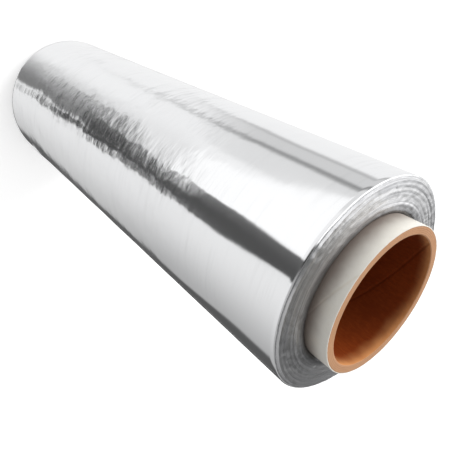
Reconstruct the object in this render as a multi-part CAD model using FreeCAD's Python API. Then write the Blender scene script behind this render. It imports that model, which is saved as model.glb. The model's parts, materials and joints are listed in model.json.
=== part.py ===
import FreeCAD, Part
import os

# Aluminium foil roll: a web of foil wound tight on a spiral-wound paper core.
# The roll stands on one end of its core. The origin is the centre of that end,
# +Z runs along the roll's axis and all sizes are in millimetres.

Vector = FreeCAD.Vector

# Driving dimensions of the wound foil
FOIL_WIDTH = 300.0
FOIL_DIAMETER = 100.0
OUTER_TURNS_DEPTH = 1.6
OUTER_TURNS_SETBACK = 0.8
FOIL_EDGE_ROUND = 0.3

# Driving dimensions of the paper core
CORE_BORE_DIAMETER = 60.0
KRAFT_WALL = 3.6
WHITE_PLY_THICKNESS = 0.4
CORE_OVERHANG = 10.0
CORE_MOUTH_CHAMFER = 0.3

# Sizes that follow from the driving ones
BORE_RADIUS = CORE_BORE_DIAMETER / 2.0
KRAFT_RADIUS = BORE_RADIUS + KRAFT_WALL
CORE_RADIUS = KRAFT_RADIUS + WHITE_PLY_THICKNESS
CORE_LENGTH = FOIL_WIDTH + 2.0 * CORE_OVERHANG
FOIL_RADIUS = FOIL_DIAMETER / 2.0
FOIL_BOTTOM = CORE_OVERHANG
FOIL_TOP = FOIL_BOTTOM + FOIL_WIDTH
STEP_RADIUS = FOIL_RADIUS - OUTER_TURNS_DEPTH
STEP_HEIGHT = FOIL_TOP - OUTER_TURNS_SETBACK

AXIS_POINT = Vector(0, 0, 0)
AXIS = Vector(0, 0, 1)
FULL_TURN = 360.0
SAME_PLACE = 1e-6


def ring_from_outline(outline):
    """Turn a closed outline of (radius, height) points about the axis."""
    corners = [Vector(radius, 0, height) for radius, height in outline]
    face = Part.Face(Part.makePolygon(corners + corners[:1]))
    return face.revolve(AXIS_POINT, AXIS, FULL_TURN)


def sleeve(inner_radius, outer_radius, bottom, top):
    """Make a plain tube between two radii and two heights."""
    return ring_from_outline([
        (inner_radius, bottom),
        (outer_radius, bottom),
        (outer_radius, top),
        (inner_radius, top),
    ])


def round_edges_at(solid, radius, height):
    """Return the full-circle edges of the solid at one radius and height."""
    found = []
    for edge in solid.Edges:
        if not isinstance(edge.Curve, Part.Circle):
            continue
        radius_off = abs(edge.Curve.Radius - radius)
        height_off = abs(edge.Curve.Center.z - height)
        if radius_off < SAME_PLACE and height_off < SAME_PLACE:
            found.append(edge)
    return found


def foil_winding():
    """Make all turns of the foil as one ring, wound tight on the core.

    At the upper end the last turns have crept down a little, which leaves a
    shallow step round the rim. The outer edges are slightly rounded.
    """
    winding = ring_from_outline([
        (CORE_RADIUS, FOIL_BOTTOM),
        (FOIL_RADIUS, FOIL_BOTTOM),
        (FOIL_RADIUS, STEP_HEIGHT),
        (STEP_RADIUS, STEP_HEIGHT),
        (STEP_RADIUS, FOIL_TOP),
        (CORE_RADIUS, FOIL_TOP),
    ])
    rims = round_edges_at(winding, FOIL_RADIUS, FOIL_BOTTOM)
    rims += round_edges_at(winding, FOIL_RADIUS, STEP_HEIGHT)
    rims += round_edges_at(winding, STEP_RADIUS, FOIL_TOP)
    return winding.makeFillet(FOIL_EDGE_ROUND, rims)


def core_tube():
    """Make the glued kraft plies as one tube, its two mouths slightly broken."""
    tube = sleeve(BORE_RADIUS, KRAFT_RADIUS, 0.0, CORE_LENGTH)
    mouths = round_edges_at(tube, BORE_RADIUS, 0.0)
    mouths += round_edges_at(tube, BORE_RADIUS, CORE_LENGTH)
    return tube.makeChamfer(CORE_MOUTH_CHAMFER, mouths)


def core_outer_ply():
    """Make the white paper ply round the kraft tube, cut flush with its ends."""
    return sleeve(KRAFT_RADIUS, CORE_RADIUS, 0.0, CORE_LENGTH)


PIECES = {
    "foil_winding": foil_winding,
    "core_tube": core_tube,
    "core_outer_ply": core_outer_ply,
}


def main():
    """Build each piece and write it to its own file."""
    os.makedirs("parts", exist_ok=True)
    for name, build in PIECES.items():
        solid = build()
        solid.exportStep(f"parts/{name}.step")
        print(f"{name}: {solid.Volume / 1000.0:.1f} cm3")


main()
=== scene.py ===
"""Looks of an aluminium foil roll: wound foil, paper core, studio and camera.

The roll stands on one end of its core. Lengths are in metres and angles in
degrees. A turn angle is measured round +Z from the side that faces the
camera, -Y, and grows towards +X.
"""

import json
import logging
import math
from dataclasses import dataclass, field
from enum import Enum
from typing import Callable, Sequence, Union

import bmesh
import bpy
from mathutils import Matrix, Quaternion, Vector, noise


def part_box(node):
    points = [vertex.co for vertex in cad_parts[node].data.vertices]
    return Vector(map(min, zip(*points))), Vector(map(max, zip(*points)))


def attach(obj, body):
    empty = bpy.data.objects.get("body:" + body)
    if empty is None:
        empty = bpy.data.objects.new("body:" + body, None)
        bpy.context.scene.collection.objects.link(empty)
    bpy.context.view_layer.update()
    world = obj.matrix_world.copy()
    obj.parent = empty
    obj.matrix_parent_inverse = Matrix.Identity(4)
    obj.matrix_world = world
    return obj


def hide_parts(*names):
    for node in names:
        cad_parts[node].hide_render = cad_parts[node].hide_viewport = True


LOG = logging.getLogger("foil_roll")

Colour = tuple[float, float, float]
Number = Union[int, float]
Input = Union["Value", bpy.types.NodeSocket, Number, Colour, Vector]

MM = 0.001


class NoiseKind(Enum):
    """How a noise texture adds up its layers."""

    CLOUDY = "FBM"
    RIDGED = "RIDGED_MULTIFRACTAL"


class Value:
    """A number that varies over a surface, written like ordinary maths."""

    def __init__(self, graph: "Graph", socket: bpy.types.NodeSocket) -> None:
        """Wrap one output socket of a node graph."""
        self.graph = graph
        self.socket = socket

    def _math(self, operation: str, *values: Input) -> "Value":
        """Add one Math node.

        Args:
            operation: The node's operation.
            values: What goes into its sockets, in order.

        Returns:
            The node's result.
        """
        sockets = dict(enumerate(values))
        return Value(self.graph, self.graph.node("ShaderNodeMath", {"operation": operation}, sockets).outputs[0])

    def __add__(self, other: Input) -> "Value":
        """Add."""
        return self._math("ADD", self, other)

    def __radd__(self, other: Input) -> "Value":
        """Add, with the number on the left."""
        return self._math("ADD", other, self)

    def __sub__(self, other: Input) -> "Value":
        """Subtract."""
        return self._math("SUBTRACT", self, other)

    def __rsub__(self, other: Input) -> "Value":
        """Subtract from the number on the left."""
        return self._math("SUBTRACT", other, self)

    def __mul__(self, other: Input) -> "Value":
        """Multiply."""
        return self._math("MULTIPLY", self, other)

    def __rmul__(self, other: Input) -> "Value":
        """Multiply, with the number on the left."""
        return self._math("MULTIPLY", other, self)

    def __truediv__(self, other: Input) -> "Value":
        """Divide."""
        return self._math("DIVIDE", self, other)

    def __rtruediv__(self, other: Input) -> "Value":
        """Divide the number on the left."""
        return self._math("DIVIDE", other, self)

    def __pow__(self, other: Input) -> "Value":
        """Raise to a power."""
        return self._math("POWER", self, other)

    def __neg__(self) -> "Value":
        """Change the sign."""
        return self._math("MULTIPLY", self, -1.0)

    def __abs__(self) -> "Value":
        """Drop the sign."""
        return self._math("ABSOLUTE", self)

    def wrapped(self, low: float, high: float) -> "Value":
        """Bring the value into a repeating range."""
        return self._math("WRAP", self, high, low)

    def at_most(self, other: Input) -> "Value":
        """Return the smaller of two values."""
        return self._math("MINIMUM", self, other)

    def at_least(self, other: Input) -> "Value":
        """Return the larger of two values."""
        return self._math("MAXIMUM", self, other)

    def arcsine(self) -> "Value":
        """Return the angle, in radians, that has this sine."""
        return self._math("ARCSINE", self)

    def angle_with(self, other: Input) -> "Value":
        """Return the angle, in radians, of the point (other, self)."""
        return self._math("ARCTAN2", self, other)

    def rising(self, start: Input, end: Input) -> "Value":
        """Go smoothly from 0 to 1 between two levels.

        Args:
            start: The level below which the result is 0.
            end: The level above which the result is 1.

        Returns:
            The smooth step.
        """
        ramp = self.graph.node(
            "ShaderNodeMapRange",
            {"interpolation_type": "SMOOTHSTEP"},
            {"Value": self, "From Min": start, "From Max": end},
        )
        return Value(self.graph, ramp.outputs["Result"])

    def between(self, start: Input, end: Input, blur: float) -> "Value":
        """Return 1 inside a range and 0 outside it, with blurred edges.

        Args:
            start: The lower edge.
            end: The upper edge.
            blur: The width of each edge's blur.

        Returns:
            The mask.
        """
        half = blur / 2.0
        return self.rising(start - half, start + half) * (1.0 - self.rising(end - half, end + half))


class Graph:
    """The node graph of one material or of the world."""

    def __init__(self, owner: Union[bpy.types.Material, bpy.types.World]) -> None:
        """Start an empty graph on its owner."""
        owner.use_nodes = True
        self.tree = owner.node_tree
        self.tree.nodes.clear()

    def node(self, kind: str, settings: dict[str, object], inputs: dict[Union[str, int], Input]) -> bpy.types.Node:
        """Add a node of any type.

        Args:
            kind: The node's type.
            settings: The node's own settings, which are set first.
            inputs: The values or links of its sockets, by name or number.

        Returns:
            The node.
        """
        made = self.tree.nodes.new(kind)
        for name, setting in settings.items():
            setattr(made, name, setting)
        for key, value in inputs.items():
            socket = made.inputs[key]
            if isinstance(value, Value):
                self.tree.links.new(value.socket, socket)
            elif isinstance(value, bpy.types.NodeSocket):
                self.tree.links.new(value, socket)
            elif socket.type == "RGBA":
                socket.default_value = (*value, 1.0)
            else:
                socket.default_value = value
        return made

    def place(self) -> tuple[Value, Value, Value]:
        """Return the x, y and z of the point that is shaded, in metres."""
        coordinates = self.node("ShaderNodeTexCoord", {}, {})
        split = self.node("ShaderNodeSeparateXYZ", {}, {0: coordinates.outputs["Object"]})
        x, y, z = (Value(self, output) for output in split.outputs)
        return x, y, z

    def vector(self, x: Input, y: Input, z: Input) -> bpy.types.NodeSocket:
        """Join three numbers into one vector."""
        return self.node("ShaderNodeCombineXYZ", {}, {0: x, 1: y, 2: z}).outputs[0]

    def noise(
        self,
        where: bpy.types.NodeSocket,
        scale: float,
        detail: float = 3.0,
        roughness: float = 0.55,
        kind: NoiseKind = NoiseKind.CLOUDY,
    ) -> Value:
        """Add a noise texture.

        Args:
            where: The vector that it is read at.
            scale: Its scale along that vector.
            detail: How many finer layers it has.
            roughness: How strong those layers are.
            kind: How the layers add up.

        Returns:
            The noise, from 0 to 1.
        """
        settings = {"noise_type": kind.value}
        sockets = {"Vector": where, "Scale": scale, "Detail": detail, "Roughness": roughness}
        return Value(self, self.node("ShaderNodeTexNoise", settings, sockets).outputs["Fac"])

    def blend(self, factor: Input, first: Input, second: Input) -> bpy.types.NodeSocket:
        """Blend two colours.

        Args:
            factor: How much of the second colour shows.
            first: The first colour.
            second: The second colour.

        Returns:
            The blended colour.
        """
        mixed = self.node("ShaderNodeMix", {"data_type": "RGBA"}, {0: factor, 6: first, 7: second})
        return mixed.outputs[2]

    def grey(self, level: Value) -> bpy.types.NodeSocket:
        """Turn a level into a neutral colour."""
        return self.node("ShaderNodeCombineColor", {}, {0: level, 1: level, 2: level}).outputs[0]

    def bump(self, height: Value, strength: float, under: Union[bpy.types.NodeSocket, None] = None) -> bpy.types.NodeSocket:
        """Turn a height in metres into a bent normal.

        Args:
            height: The height of the surface.
            strength: How much of the bump is used.
            under: The normal that it is added to, if there is one.

        Returns:
            The bent normal.
        """
        sockets = {"Height": height, "Strength": strength, "Distance": 1.0}
        if under is not None:
            sockets["Normal"] = under
        return self.node("ShaderNodeBump", {}, sockets).outputs["Normal"]

    def finish_surface(self, sockets: dict[Union[str, int], Input]) -> None:
        """End a material with one Principled shader."""
        shader = self.node("ShaderNodeBsdfPrincipled", {}, sockets)
        self.node("ShaderNodeOutputMaterial", {}, {"Surface": shader.outputs[0]})


def new_material(name: str) -> tuple[bpy.types.Material, Graph]:
    """Make an empty material and its graph."""
    material = bpy.data.materials.new(name)
    return material, Graph(material)


@dataclass(frozen=True)
class BrightFoilFinish:
    """The bright side of rolled foil: a mirror with fine lines round the roll."""

    metal: Colour = (0.90, 0.905, 0.915)
    worn_metal: Colour = (0.86, 0.865, 0.875)
    roughness: float = 0.10
    roughness_spread: float = 0.14
    line_height: float = 0.009 * MM
    tear_height: float = 0.23 * MM
    dent_height: float = 0.60 * MM
    calm_share: float = 0.88
    calm_start: float = 0.215
    calm_end: float = 0.265
    smooth_end: float = 0.085

    def build(self) -> bpy.types.Material:
        """Make the material."""
        material, graph = new_material("bright_foil")
        x, y, z = graph.place()
        radius = (x * x + y * y) ** 0.5
        turn_x = x / radius
        turn_y = y / radius
        calm = 1.0 - z.rising(self.calm_start, self.calm_end) * self.calm_share
        handled = graph.noise(graph.vector(turn_x * 1.1, turn_y * 1.1, z * 14.0 + 7.0), 1.0, 1.0, 0.5)
        calm = calm * (0.45 + 0.75 * handled.rising(0.40, 0.60)) * (0.35 + 0.65 * z.rising(0.0, self.smooth_end))
        lines = graph.noise(graph.vector(turn_x * 1.2, turn_y * 1.2, z * 480.0), 1.0, 3.0, 0.7)
        patches = graph.noise(graph.vector(turn_x * 2.2, turn_y * 2.2, z * 45.0), 1.0, 2.0, 0.6)
        tears = graph.noise(graph.vector(turn_x * 2.6, turn_y * 2.6, z * 180.0), 1.0, 4.0, 0.65)
        dents = graph.noise(graph.vector(turn_x * 3.6, turn_y * 3.6, z * 70.0 + 4.0), 1.0, 2.0, 0.5)
        bent = graph.bump((tears * self.tear_height + dents * self.dent_height) * calm, 1.0)
        bent = graph.bump(lines * self.line_height * (0.25 + patches) * calm, 1.0, bent)
        # Wear only here: patches of slightly darker, rougher foil.
        wear_and_painted_light = lines.rising(0.45, 0.75) * patches.rising(0.35, 0.65)
        graph.finish_surface({
            "Base Color": graph.blend(wear_and_painted_light, self.metal, self.worn_metal),
            "Metallic": 1.0,
            "Roughness": self.roughness + self.roughness_spread * wear_and_painted_light * calm,
            "Anisotropic": 0.8,
            "Anisotropic Rotation": 0.25,
            "Normal": bent,
        })
        return material


@dataclass(frozen=True)
class FoilEdgeFinish:
    """The wound edges of the foil: thousands of turns seen end on, with painted shade beside the core."""

    light_metal: Colour = (0.92, 0.92, 0.925)
    dark_metal: Colour = (0.50, 0.505, 0.52)
    turn_height: float = 9.0e-6
    crinkle_height: float = 0.34 * MM
    # Painted shade: the near-black colour laid on the wound edges beside the core.
    painted_shade_metal: Colour = (0.10, 0.10, 0.105)
    core_radius: float = 0.034
    painted_shade_reach: float = 0.0052

    def build(self) -> bpy.types.Material:
        """Make the material."""
        material, graph = new_material("foil_edges")
        x, y, z = graph.place()
        radius = (x * x + y * y) ** 0.5
        turn_x = x / radius
        turn_y = y / radius
        turns = graph.noise(graph.vector(turn_x * 1.1, turn_y * 1.1, radius * 2600.0), 1.0, 4.0, 0.75)
        bands = graph.noise(graph.vector(turn_x * 0.9, turn_y * 0.9, radius * 520.0), 1.0, 3.0, 0.6)
        crinkles = graph.noise(graph.vector(x, y, z), 300.0, 4.0, 0.6, NoiseKind.RIDGED)
        # Painted shade: the edges turn near black within a few mm of the core, where the crevice between foil and
        # core lies in shade.
        painted_shade_by_core = 1.0 - (radius + (bands - 0.5) * 0.002).rising(self.core_radius, self.core_radius + self.painted_shade_reach)
        bent = graph.bump(crinkles * self.crinkle_height, 0.6)
        bent = graph.bump(turns * self.turn_height, 1.0, bent)
        shade = bands.rising(0.38, 0.66) * 0.5 + turns.rising(0.38, 0.68) * 0.5
        metal = graph.blend(shade, self.dark_metal, self.light_metal)
        graph.finish_surface({
            # The painted shade beside the core goes over the edges' own colour.
            "Base Color": graph.blend(painted_shade_by_core * 0.9, metal, self.painted_shade_metal),
            "Metallic": 1.0,
            "Roughness": 0.27 + 0.15 * (1.0 - shade),
            "Anisotropic": 0.7,
            "Anisotropic Rotation": 0.25,
            "Normal": bent,
        })
        return material


@dataclass(frozen=True)
class KraftFinish:
    """The plain brown face of kraft board, with the seams of its spiral plies, and painted light near each cut end.
    """

    brown: Colour = (0.29, 0.056, 0.008)
    dark_brown: Colour = (0.20, 0.033, 0.004)
    # Painted light: the lighter brown laid on the bore near each cut end, where light falls in.
    painted_light_brown: Colour = (0.70, 0.32, 0.12)
    ends: tuple[float, float] = (0.0, 0.32)
    painted_light_reach: float = 0.0060
    seam_pitch: float = 0.092
    seam_width: float = 0.0011
    fibre_height: float = 0.05 * MM

    def build(self) -> bpy.types.Material:
        """Make the material."""
        material, graph = new_material("kraft_board")
        x, y, z = graph.place()
        turn = y.angle_with(x) / (2.0 * math.pi)
        along = (z / self.seam_pitch - turn).wrapped(-0.5, 0.5)
        seam = 1.0 - abs(along).rising(0.0, self.seam_width / self.seam_pitch)
        fibres = graph.noise(graph.vector(x, y, z * 0.35), 900.0, 4.0, 0.7)
        blotches = graph.noise(graph.vector(x, y, z), 55.0, 3.0, 0.6)
        shade = fibres * 0.55 + blotches * 0.45
        plain = graph.blend(shade.rising(0.35, 0.68), self.dark_brown, self.brown)
        to_end = (z - self.ends[0]).at_most(self.ends[1] - z)
        # Painted light: the bore is lighter within a few mm of each cut end and darker deeper in, as light falls into
        # the mouth.
        wear_and_painted_light = 1.0 - (to_end + (blotches - 0.5) * 0.008).rising(-0.001, self.painted_light_reach)
        plain = graph.blend(wear_and_painted_light * 0.85, plain, self.painted_light_brown)
        graph.finish_surface({
            "Base Color": graph.blend(seam * 0.25, plain, tuple(c * 0.6 for c in self.dark_brown)),
            "Roughness": 0.78 + 0.12 * fibres,
            "Specular IOR Level": 0.2,
            "Normal": graph.bump(fibres * self.fibre_height - seam * 0.25 * MM, 0.8),
        })
        return material


@dataclass(frozen=True)
class CutBoardFinish:
    """The cut end of the core, where the plies show as thin rings."""

    pale: Colour = (0.63, 0.36, 0.205)
    dark: Colour = (0.46, 0.21, 0.095)
    ply_thickness: float = 0.75 * MM
    fuzz_height: float = 0.14 * MM

    def build(self) -> bpy.types.Material:
        """Make the material."""
        material, graph = new_material("cut_board")
        x, y, z = graph.place()
        radius = (x * x + y * y) ** 0.5
        fuzz = graph.noise(graph.vector(x, y, z), 1500.0, 3.0, 0.7)
        stain = graph.noise(graph.vector(x, y, z), 120.0, 2.0, 0.5)
        ply = abs((radius / self.ply_thickness + fuzz * 0.25).wrapped(-0.5, 0.5))
        line = ply.rising(0.34, 0.5)
        shade = (line * 0.75 + fuzz * 0.35 + stain * 0.35 - 0.1).at_most(1.0)
        graph.finish_surface({
            "Base Color": graph.blend(shade, self.pale, self.dark),
            "Roughness": 0.9,
            "Normal": graph.bump(fuzz * self.fuzz_height - line * 0.08 * MM, 0.9),
        })
        return material


@dataclass(frozen=True)
class WhitePlyFinish:
    """Off-white paper, matt, with a faint seam and fibres, and painted shade beside the foil, darker on the -Y side.
    """

    white: Colour = (0.86, 0.83, 0.76)
    grey: Colour = (0.74, 0.66, 0.54)
    # Painted shade: the dark brown-grey laid on the ply beside the foil.
    painted_shade_colour: Colour = (0.27, 0.22, 0.19)
    foil_faces: tuple[float, float] = (0.01, 0.31)
    painted_shade_width: float = 0.0078
    seam_pitch: float = 0.098
    seam_width: float = 0.0009
    fibre_height: float = 0.03 * MM

    def build(self) -> bpy.types.Material:
        """Make the material."""
        material, graph = new_material("white_ply")
        x, y, z = graph.place()
        turn = y.angle_with(x) / (2.0 * math.pi)
        along = (z / self.seam_pitch + turn).wrapped(-0.5, 0.5)
        seam = 1.0 - abs(along).rising(0.0, self.seam_width / self.seam_pitch)
        fibres = graph.noise(graph.vector(x, y, z), 1100.0, 4.0, 0.7)
        soil = graph.noise(graph.vector(x, y, z), 70.0, 3.0, 0.6)
        shade = (soil.rising(0.45, 0.8) * 0.5 + fibres.rising(0.5, 0.8) * 0.25 + seam * 0.35).at_most(1.0)
        outside = (self.foil_faces[0] - z).at_least(z - self.foil_faces[1])
        # Painted shade: the ply darkens within a few mm of the foil's end faces, most on the -Y side, for the shade
        # in the corner between foil and ply.
        painted_shade_by_foil = 1.0 - (outside + (soil - 0.5) * 0.004).rising(0.0, self.painted_shade_width)
        turned = (-y / (x * x + y * y) ** 0.5).rising(-0.7, 0.8)
        painted_shade_mask = painted_shade_by_foil * (0.15 + 0.85 * turned)
        graph.finish_surface({
            # The painted shade beside the foil goes over the paper's own colour.
            "Base Color": graph.blend(painted_shade_mask, graph.blend(shade, self.white, self.grey), self.painted_shade_colour),
            "Roughness": 0.62 + 0.2 * fibres,
            "Normal": graph.bump(fibres * self.fibre_height - seam * 0.1 * MM, 0.8),
        })
        return material


@dataclass(frozen=True)
class Station:
    """One ring of a turned skin.

    The finish is the number of the material slot of the skin between this
    ring and the next one.
    """

    radius: float
    height: float
    finish: int


Shift = Callable[[float, Station], tuple[float, float]]


def run(start: tuple[float, float], end: tuple[float, float], steps: int, finish: int) -> list[Station]:
    """Space rings evenly along one straight stretch of an outline.

    Args:
        start: Radius and height of the first ring.
        end: Radius and height where the next stretch begins.
        steps: How many rings the stretch has.
        finish: The material slot of the stretch.

    Returns:
        The rings, without the one at the end.
    """
    rings = []
    for step in range(steps):
        share = step / steps
        radius = start[0] + (end[0] - start[0]) * share
        height = start[1] + (end[1] - start[1]) * share
        rings.append(Station(radius, height, finish))
    return rings


def turned_skin(name: str, rings: Sequence[Station], segments: int, shift: Shift) -> bpy.types.Object:
    """Turn a closed outline about +Z and shift each point of the skin.

    Args:
        name: The object's name.
        rings: The outline's rings, in order, the last one joined to the first.
        segments: How many points each ring has.
        shift: Gives the radial and axial shift at a turn angle on a ring.

    Returns:
        The closed mesh object, smooth shaded.
    """
    mesh = bpy.data.meshes.new(name)
    build = bmesh.new()
    loops = []
    for ring in rings:
        loop = []
        for index in range(segments):
            angle = 2.0 * math.pi * index / segments
            outward, upward = shift(angle, ring)
            radius = ring.radius + outward
            loop.append(build.verts.new((radius * math.sin(angle), -radius * math.cos(angle), ring.height + upward)))
        loops.append(loop)
    for number, ring in enumerate(rings):
        lower, upper = loops[number], loops[(number + 1) % len(loops)]
        for index in range(segments):
            after = (index + 1) % segments
            face = build.faces.new((lower[index], lower[after], upper[after], upper[index]))
            face.material_index = ring.finish
            face.smooth = True
    build.normal_update()
    build.to_mesh(mesh)
    build.free()
    made = bpy.data.objects.new(name, mesh)
    bpy.context.scene.collection.objects.link(made)
    return made


def ripple(angle: float, along: float, round_scale: float, long_scale: float, seed: float) -> float:
    """Return smooth noise from -1 to 1 that closes on itself round the axis.

    Args:
        angle: The turn angle, in radians.
        along: The place along the axis or along a radius.
        round_scale: How fast the noise changes round the axis.
        long_scale: How fast it changes along.
        seed: Moves to another part of the noise.

    Returns:
        The noise.
    """
    point = (math.cos(angle) * round_scale, math.sin(angle) * round_scale, along * long_scale + seed)
    return noise.noise(Vector(point))


def dress(piece: bpy.types.Object, materials: Sequence[bpy.types.Material]) -> None:
    """Give a piece its materials and its body, and log its triangle count.

    Args:
        piece: The mesh object.
        materials: Its materials, in slot order.
    """
    for material in materials:
        piece.data.materials.append(material)
    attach(piece, "root")
    triangles = sum(len(face.vertices) - 2 for face in piece.data.polygons)
    LOG.info("%s: %d triangles", piece.name, triangles)


@dataclass
class FoilWinding:
    """All the turns of the foil, with their wound edges at both ends."""

    bright: bpy.types.Material
    edges: bpy.types.Material
    segments: int = 336
    side_rings: int = 150
    face_rings: int = 42
    rim_round: float = 0.5 * MM
    outer_turns: float = 1.6 * MM
    setback: float = 0.8 * MM
    dip_by_core: float = 0.9 * MM
    dip_width: float = 1.6 * MM
    wave_height: float = 0.14 * MM
    creep_height: float = 0.22 * MM
    low: Vector = field(init=False)
    high: Vector = field(init=False)
    bore: float = field(init=False)

    def __post_init__(self) -> None:
        """Take the sizes from the frame."""
        self.low, self.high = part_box("foil_winding")
        self.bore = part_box("core_outer_ply")[1].x + 0.02 * MM

    @property
    def radius(self) -> float:
        """Radius of the outermost turn."""
        return self.high.x

    def _face(self, height: float, outward: float, inner: float, outer: float) -> list[Station]:
        """Make the rings of one wound face, from the core outwards.

        Args:
            height: The face's height.
            outward: 1 for the upper face and -1 for the lower one.
            inner: Radius where the face starts.
            outer: Radius where it ends.

        Returns:
            The rings, with the dip beside the core.
        """
        rings = []
        for ring in run((inner, height), (outer, height), self.face_rings, 1):
            depth = max(0.0, 1.0 - (ring.radius - inner) / self.dip_width) ** 1.5 * self.dip_by_core
            rings.append(Station(ring.radius, ring.height - outward * depth, 1))
        return rings

    def _outline(self) -> list[Station]:
        """Lay out the rings round the whole section of the winding."""
        top, bottom, full = self.high.z, self.low.z, self.radius
        step_radius = full - self.outer_turns
        step_height = top - self.setback
        rise = self.rim_round
        rings = self._face(bottom, -1.0, self.bore, full - rise)
        rings += run((full - rise, bottom), (full, bottom + rise), 2, 1)
        rings += run((full, bottom + rise), (full, step_height - rise), self.side_rings, 0)
        rings += run((full, step_height - rise), (full - rise, step_height), 2, 0)
        rings += run((full - rise, step_height), (step_radius, step_height), 3, 1)
        rings += run((step_radius, step_height), (step_radius, top), 1, 1)
        upper = self._face(top, 1.0, self.bore, step_radius)
        rings += [Station(step_radius, top, 1)] + upper[::-1]
        rings += run((self.bore, top - self.dip_by_core), (self.bore, bottom + self.dip_by_core), 3, 1)[1:]
        return rings

    def wave(self, angle: float, height: float) -> float:
        """Return how far the side's soft waves move a point outwards."""
        broad = ripple(angle, height, 1.4, 9.0, 3.0)
        fine = ripple(angle, height, 4.0, 55.0, 11.0) * min(1.0, max(0.2, (0.27 - height) / 0.05))
        return self.wave_height * (broad * 0.7 + fine * 0.5 - 0.6)

    def _shift(self, angle: float, ring: Station) -> tuple[float, float]:
        """Shift one point: soft waves on the side, crept turns on the ends."""
        outward = 0.0
        upward = 0.0
        if ring.radius > self.radius - self.rim_round * 1.5:
            outward = self.wave(angle, ring.height)
        on_face = min(abs(ring.height - self.low.z), abs(ring.height - self.high.z)) < 1.2 * MM
        if on_face and ring.radius < self.radius - self.rim_round * 0.5:
            turns = ripple(angle, ring.radius, 0.5, 900.0, 5.0)
            crinkle = ripple(angle, ring.radius, 16.0, 420.0, 8.0)
            side = 1.0 if ring.height > (self.low.z + self.high.z) / 2.0 else -1.0
            upward = side * self.creep_height * (turns * 0.6 + crinkle * 0.7 - 1.0)
        return outward, upward

    def build(self) -> bpy.types.Object:
        """Make the winding and put it in place of its plain solid."""
        piece = turned_skin("foil_winding_turns", self._outline(), self.segments, self._shift)
        dress(piece, (self.bright, self.edges))
        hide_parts("foil_winding")
        return piece


@dataclass
class FoilTail:
    """The free edge of the web, lying along the roll, with one loose corner."""

    bright: bpy.types.Material
    winding: FoilWinding
    edge_angle: float = 71.0
    held_angle: float = 104.0
    thickness: float = 0.03 * MM
    held_gap: float = -0.035 * MM
    rest_gap: float = 0.08 * MM
    corner_lift: float = 2.0 * MM
    edge_lift: float = 0.22 * MM
    corner_reach: float = 0.15
    torn_reach: float = 0.11
    torn_angle: float = 2.6
    columns: int = 28
    rows: int = 150

    def _point(self, share_round: float, share_up: float) -> Vector:
        """Place one point of the tail.

        Args:
            share_round: 0 where the web is held and 1 at its free edge.
            share_up: 0 at the lower end of the roll and 1 at the upper end.

        Returns:
            The point.
        """
        low, high = self.winding.low.z, self.winding.high.z - self.winding.setback
        wander = 0.9 * noise.noise(Vector((share_up * 7.0, 2.0, 0.0)))
        wander += 0.5 * noise.noise(Vector((share_up * 41.0, 6.0, 0.0)))
        torn = max(0.0, 1.0 - share_up / self.torn_reach) ** 1.8 * self.torn_angle
        angle = math.radians(self.held_angle + (self.edge_angle + wander + torn - self.held_angle) * share_round)
        loose = max(0.0, 1.0 - share_up / self.corner_reach) ** 1.6
        lift = self.corner_lift * loose * share_round ** 4.5
        lift += self.edge_lift * share_round ** 3 * (0.55 + 0.45 * noise.noise(Vector((share_up * 12.0, 0.0, 4.0))))
        lift += self.held_gap + (self.rest_gap - self.held_gap) * share_round ** 1.5
        height = low + 0.6 * MM + (high - low - 1.2 * MM) * share_up
        radius = self.winding.radius + self.winding.wave(angle, height) + lift
        return Vector((radius * math.sin(angle), -radius * math.cos(angle), height))

    def build(self) -> bpy.types.Object:
        """Make the tail as a thin sheet."""
        mesh = bpy.data.meshes.new("foil_tail")
        build = bmesh.new()
        grid = []
        for row in range(self.rows + 1):
            line = []
            for column in range(self.columns + 1):
                line.append(build.verts.new(self._point(column / self.columns, row / self.rows)))
            grid.append(line)
        for row in range(self.rows):
            for column in range(self.columns):
                corners = (grid[row][column], grid[row][column + 1], grid[row + 1][column + 1], grid[row + 1][column])
                build.faces.new(corners[::-1]).smooth = True
        build.normal_update()
        build.to_mesh(mesh)
        build.free()
        piece = bpy.data.objects.new("foil_tail", mesh)
        bpy.context.scene.collection.objects.link(piece)
        thicken = piece.modifiers.new("thickness", "SOLIDIFY")
        thicken.thickness = self.thickness
        thicken.offset = 0.0
        dress(piece, (self.bright,))
        return piece


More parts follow.
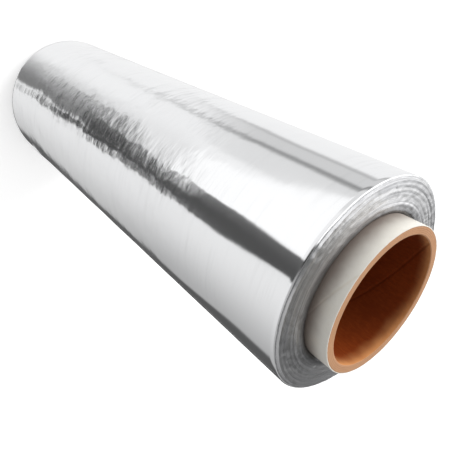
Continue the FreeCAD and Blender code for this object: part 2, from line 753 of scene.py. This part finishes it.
@dataclass
class PaperCore:
    """The core: a kraft tube with its white outer ply."""

    kraft: bpy.types.Material
    cut: bpy.types.Material
    white: bpy.types.Material
    segments: int = 288
    wall_rings: int = 120
    edge_fuzz: float = 0.16 * MM
    seam_pitch: float = 0.092
    seam_depth: float = 0.09 * MM
    mouth_round: float = 0.3 * MM
    kraft_box: tuple[Vector, Vector] = field(init=False)
    white_box: tuple[Vector, Vector] = field(init=False)

    def __post_init__(self) -> None:
        """Take the sizes from the frame."""
        self.kraft_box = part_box("core_tube")
        self.white_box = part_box("core_outer_ply")

    def _kraft_shift(self, angle: float, ring: Station) -> tuple[float, float]:
        """Shift one point of the kraft tube: fuzzy cut ends and soft ply ridges."""
        ends = self.kraft_box
        at_end = min(abs(ring.height - ends[0].z), abs(ring.height - ends[1].z)) < 0.2 * MM
        fuzz = ripple(angle, ring.radius, 34.0, 700.0, 2.0) + ripple(angle, ring.radius, 5.0, 60.0, 9.0)
        inwards = -1.0 if ring.height > ends[1].z / 2.0 else 1.0
        upward = inwards * self.edge_fuzz * (0.5 + 0.25 * fuzz) if at_end else 0.0
        turn = (ring.height / self.seam_pitch - angle / (2.0 * math.pi)) % 1.0
        ridge = self.seam_depth * (turn - 0.5) * 0.5
        return ridge + 0.05 * MM * ripple(angle, ring.height, 6.0, 60.0, 1.0), upward

    def _white_shift(self, angle: float, ring: Station) -> tuple[float, float]:
        """Shift one point of the white ply: a slightly ragged cut."""
        ends = self.white_box
        at_end = min(abs(ring.height - ends[0].z), abs(ring.height - ends[1].z)) < 0.2 * MM
        rag = ripple(angle, 0.0, 42.0, 1.0, 4.0) + ripple(angle, 0.0, 9.0, 1.0, 7.0)
        inwards = -1.0 if ring.height > ends[1].z / 2.0 else 1.0
        upward = inwards * self.edge_fuzz * (0.5 + 0.4 * rag) if at_end else 0.0
        return 0.015 * MM * ripple(angle, ring.height, 9.0, 90.0, 6.0), upward

    def build_kraft(self) -> bpy.types.Object:
        """Make the kraft tube and put it in place of its plain solid."""
        low, high = self.kraft_box
        outer = high.x - 0.02 * MM
        bore = outer - self._wall()
        rise = self.mouth_round
        rings = run((bore, high.z - rise), (bore, low.z + rise), self.wall_rings, 0)
        rings += run((bore, low.z + rise), (bore + rise, low.z), 2, 1)
        rings += run((bore + rise, low.z), (outer, low.z), 12, 1)
        rings += run((outer, low.z), (outer, high.z), 4, 1)
        rings += run((outer, high.z), (bore + rise, high.z), 12, 1)
        rings += run((bore + rise, high.z), (bore, high.z - rise), 2, 1)
        piece = turned_skin("core_kraft_tube", rings, self.segments, self._kraft_shift)
        dress(piece, (self.kraft, self.cut))
        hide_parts("core_tube")
        return piece

    def build_white(self) -> bpy.types.Object:
        """Make the white ply and put it in place of its plain solid."""
        low, high = self.white_box
        inner = self.kraft_box[1].x
        edge = 0.1 * MM
        rings = run((inner, low.z), (high.x - edge, low.z), 2, 0)
        rings += run((high.x - edge, low.z), (high.x, low.z + edge), 1, 0)
        rings += run((high.x, low.z + edge), (high.x, high.z - edge), self.wall_rings, 0)
        rings += run((high.x, high.z - edge), (high.x - edge, high.z), 1, 0)
        rings += run((high.x - edge, high.z), (inner, high.z), 2, 0)
        rings += run((inner, high.z), (inner, low.z), 4, 0)
        piece = turned_skin("core_white_ply", rings, self.segments, self._white_shift)
        dress(piece, (self.white,))
        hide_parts("core_outer_ply")
        return piece

    def _wall(self) -> float:
        """Read the kraft tube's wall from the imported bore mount."""
        bores = [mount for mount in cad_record()["mounts"] if mount["name"] == "core_bore"]
        return self.kraft_box[1].x - bores[0]["dims"]["r_mm"] * MM


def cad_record() -> dict:
    """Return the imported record."""
    return FRAME["record"]


@dataclass(frozen=True)
class Surround:
    """The studio all round the roll, as a brightness for each direction.

    The camera sees plain white. Paper and card get soft light from it. Bright
    foil mirrors its lamps, gaps and edges. A side angle is taken round +Z from
    -Y, and a drop is the angle below the horizon.
    """

    soft_low: float = 0.24
    soft_high: float = 1.05
    open_tone: float = 0.96
    lamp_tone: float = 1.12
    gap_tone: float = 0.085
    stripe_tone: float = 0.10

    def _below(self, graph: Graph, side: Value, drop: Value) -> Value:
        """Work out what the foil's side mirrors from below the horizon."""
        near = 1.0 - drop.rising(42.0, 54.0)
        nearer = 1.0 - drop.rising(52.0, 66.0)
        tone = self.open_tone - 0.28 * side.between(-102.0, -78.0, 6.0) * near
        tone = tone - 0.17 * side.between(-79.0, -46.0, 10.0) * near
        tone = tone - 0.24 * side.between(-104.5, -99.0, 3.5) * near
        tone = tone - 0.34 * side.between(-82.5, -75.5, 4.0) * nearer
        blocks = graph.noise(graph.vector(drop * 0.55, side * 0.02, 3.0), 1.0, 3.0, 0.6)
        blotches = blocks.rising(0.45, 0.62) * side.rising(-52.0, 4.0) * drop.rising(48.0, 55.0)
        shade = side.rising(-60.0, 14.0) * (0.30 * drop.rising(44.0, 54.0) + 0.46 * drop.rising(61.0, 69.0))
        tone = tone * (1.0 - shade) * (1.0 - 0.42 * blotches)
        upper = -28.0 - 1.22 * (49.0 - drop.at_least(28.0)) - 13.0 * (1.0 - drop.rising(30.0, 43.0))
        lamp = side.between(upper, 8.5, 3.0) * (1.0 - drop.rising(44.0, 55.0)) * drop.rising(15.0, 24.0)
        tone = tone * (1.0 - lamp) + lamp * self.lamp_tone
        lit = side.rising(18.0, 24.0)
        shadow_side = (0.44 - 0.16 * drop.rising(42.0, 62.0)) * side.rising(38.0, 126.0)
        tone = tone * (1.0 - lit) + lit * (0.88 - shadow_side)
        ragged = graph.noise(graph.vector(drop, 0.0, 0.0), 0.45, 2.0, 0.5) - 0.5
        wide_block = drop.between(58.8, 63.8, 0.9)
        low_block = drop.between(50.6, 59.4, 1.0)
        upper = 7.0 - 3.0 * drop.rising(32.0, 40.0) + 5.0 * drop.rising(48.5, 51.0)
        upper = upper - 33.0 * wide_block - 9.0 * low_block + 15.0 * drop.rising(63.4, 64.4)
        lower = 28.5 + 6.5 * drop.rising(31.0, 42.0) - 8.0 * drop.rising(47.5, 50.0) + 10.0 * low_block
        lower = lower + 7.0 * drop.rising(59.0, 65.0) + ragged * 8.0
        pinch = drop.between(47.4, 52.2, 2.0)
        upper = upper + 12.0 * pinch
        lower = lower - 3.0 * pinch
        gap = side.between(upper, lower, 2.6) * (1.0 - drop.rising(67.6, 68.8))
        inner = self.gap_tone + 0.045 * (1.0 - side.rising(upper, upper + 15.0)) - 0.04 * wide_block
        tone = tone * (1.0 - gap) + gap * inner
        stripe_edge = 121.0 + 9.0 * drop.between(37.0, 58.0, 10.0)
        stripe = side.between(stripe_edge, 172.0, 8.0)
        tone = tone * (1.0 - stripe) + stripe * (self.stripe_tone + 0.24 * side.rising(142.0, 172.0))
        back = side.rising(170.0, 176.0)
        return tone * (1.0 - back) + back * 0.88

    def _above(self, x: Value, z: Value) -> Value:
        """Work out what the wound edges mirror from above the horizon."""
        left = (-x).rising(0.07, 0.22) * (0.80 + 0.70 * z.rising(0.28, 0.46))
        return 0.03 + left + 0.42 * x.rising(0.12, 0.50) + 0.22 * z.rising(0.75, 0.98)

    def _soft(self, x: Value, y: Value, z: Value) -> Value:
        """Work out the soft light, which is stronger from -X and from behind."""
        facing = -0.75 * x + 0.35 * y + 0.45 * z
        return self.soft_low + (self.soft_high - self.soft_low) * facing.rising(-0.6, 0.9)

    def build(self) -> None:
        """Make the world."""
        world = bpy.data.worlds.new("surround")
        bpy.context.scene.world = world
        graph = Graph(world)
        direction = graph.node("ShaderNodeTexCoord", {}, {})
        split = graph.node("ShaderNodeSeparateXYZ", {}, {0: direction.outputs["Generated"]})
        x, y, z = (Value(graph, output) for output in split.outputs)
        side = x.angle_with(-y) * (180.0 / math.pi)
        drop = z.arcsine() * (-180.0 / math.pi)
        mirrored = z.rising(0.05, 0.20)
        mirrored = self._above(x, z) * mirrored + self._below(graph, side, drop) * (1.0 - mirrored)
        path = graph.node("ShaderNodeLightPath", {}, {})
        camera = Value(graph, path.outputs["Is Camera Ray"]).at_least(path.outputs["Is Transmission Ray"])
        glossy = Value(graph, path.outputs["Is Glossy Ray"])
        unseen = mirrored * glossy + self._soft(x, y, z) * (1.0 - glossy)
        level = camera + unseen * (1.0 - camera)
        background = graph.node("ShaderNodeBackground", {}, {"Color": (1.0, 1.0, 1.0), "Strength": level})
        graph.node("ShaderNodeOutputWorld", {}, {"Surface": background.outputs[0]})


@dataclass(frozen=True)
class Studio:
    """A pale floor, the soft surround and one large soft lamp."""

    floor_size: float = 30.0
    floor_colour: Colour = (0.92, 0.92, 0.92)
    floor_fill: float = 0.42
    key_power: float = 9.0
    key_place: tuple[float, float, float] = (-1.1, 0.2, 0.86)
    key_size: float = 0.8

    def _floor(self) -> None:
        """Lay the floor, which is white to the camera but for the roll's shadow."""
        mesh = bpy.data.meshes.new("floor")
        half = self.floor_size / 2.0
        corners = [(-half, -half, 0.0), (half, -half, 0.0), (half, half, 0.0), (-half, half, 0.0)]
        mesh.from_pydata(corners, [], [(0, 1, 2, 3)])
        floor = bpy.data.objects.new("floor", mesh)
        bpy.context.scene.collection.objects.link(floor)
        material, graph = new_material("floor_paper")
        path = graph.node("ShaderNodeLightPath", {}, {})
        fill = Value(graph, path.outputs["Is Camera Ray"]) * self.floor_fill
        graph.finish_surface({
            "Base Color": self.floor_colour,
            "Roughness": 1.0,
            "Specular IOR Level": 0.0,
            "Emission Color": graph.grey(fill),
            "Emission Strength": 1.0,
        })
        mesh.materials.append(material)
        floor.visible_glossy = False

    def _key(self) -> None:
        """Hang one large soft lamp."""
        lamp = bpy.data.lights.new("soft_lamp", "AREA")
        lamp.energy = self.key_power
        lamp.size = self.key_size
        hung = bpy.data.objects.new("soft_lamp", lamp)
        hung.location = Vector(self.key_place)
        aim = Vector((0.0, 0.0, 0.3)) - hung.location
        hung.rotation_mode = "QUATERNION"
        hung.rotation_quaternion = aim.to_track_quat("-Z", "Y")
        hung.visible_glossy = False
        bpy.context.scene.collection.objects.link(hung)

    def build(self) -> None:
        """Set up the whole studio."""
        self._floor()
        self._key()
        Surround().build()
        bpy.context.scene.view_settings.view_transform = "Standard"
        LOG.info("studio: floor, surround and lamp")


@dataclass(frozen=True)
class PhotoCamera:
    """The camera, placed to match the photograph's view of the roll."""

    place: tuple[float, float, float] = (0.0, -0.1799, 0.3848)
    forward: tuple[float, float, float] = (0.04765, 0.75269, -0.65665)
    up: tuple[float, float, float] = (-0.84062, -0.32487, -0.43339)
    focal_pixels: float = 450.0
    picture_pixels: float = 452.0
    sensor: float = 36.0

    def build(self) -> bpy.types.Object:
        """Make the camera and use it."""
        lens = bpy.data.cameras.new("photo_camera")
        lens.sensor_width = self.sensor
        lens.lens = self.sensor * self.focal_pixels / self.picture_pixels
        lens.clip_start = 0.01
        camera = bpy.data.objects.new("photo_camera", lens)
        back = -Vector(self.forward).normalized()
        up = Vector(self.up).normalized()
        across = up.cross(back).normalized()
        turn = Matrix((across, back.cross(across), back)).transposed()
        camera.matrix_world = Matrix.Translation(Vector(self.place)) @ turn.to_4x4()
        bpy.context.scene.collection.objects.link(camera)
        bpy.context.scene.camera = camera
        LOG.info("camera: lens %.1f mm", lens.lens)
        return camera


with open("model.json") as file:
    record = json.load(file)
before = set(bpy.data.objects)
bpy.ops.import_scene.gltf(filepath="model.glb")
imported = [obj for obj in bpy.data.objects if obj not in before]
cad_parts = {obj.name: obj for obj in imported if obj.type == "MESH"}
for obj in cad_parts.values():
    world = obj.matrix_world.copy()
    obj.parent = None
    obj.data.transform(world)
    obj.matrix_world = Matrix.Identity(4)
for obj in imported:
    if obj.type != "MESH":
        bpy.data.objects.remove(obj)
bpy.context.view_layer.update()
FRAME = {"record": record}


def main() -> None:
    """Build the roll, the studio and the camera."""
    logging.basicConfig(level=logging.INFO)
    bright = BrightFoilFinish().build()
    winding = FoilWinding(bright, FoilEdgeFinish().build())
    winding.build()
    FoilTail(bright, winding).build()
    core = PaperCore(KraftFinish().build(), CutBoardFinish().build(), WhitePlyFinish().build())
    core.build_kraft()
    core.build_white()
    Studio().build()
    PhotoCamera().build()


if __name__ == "__main__":
    main()
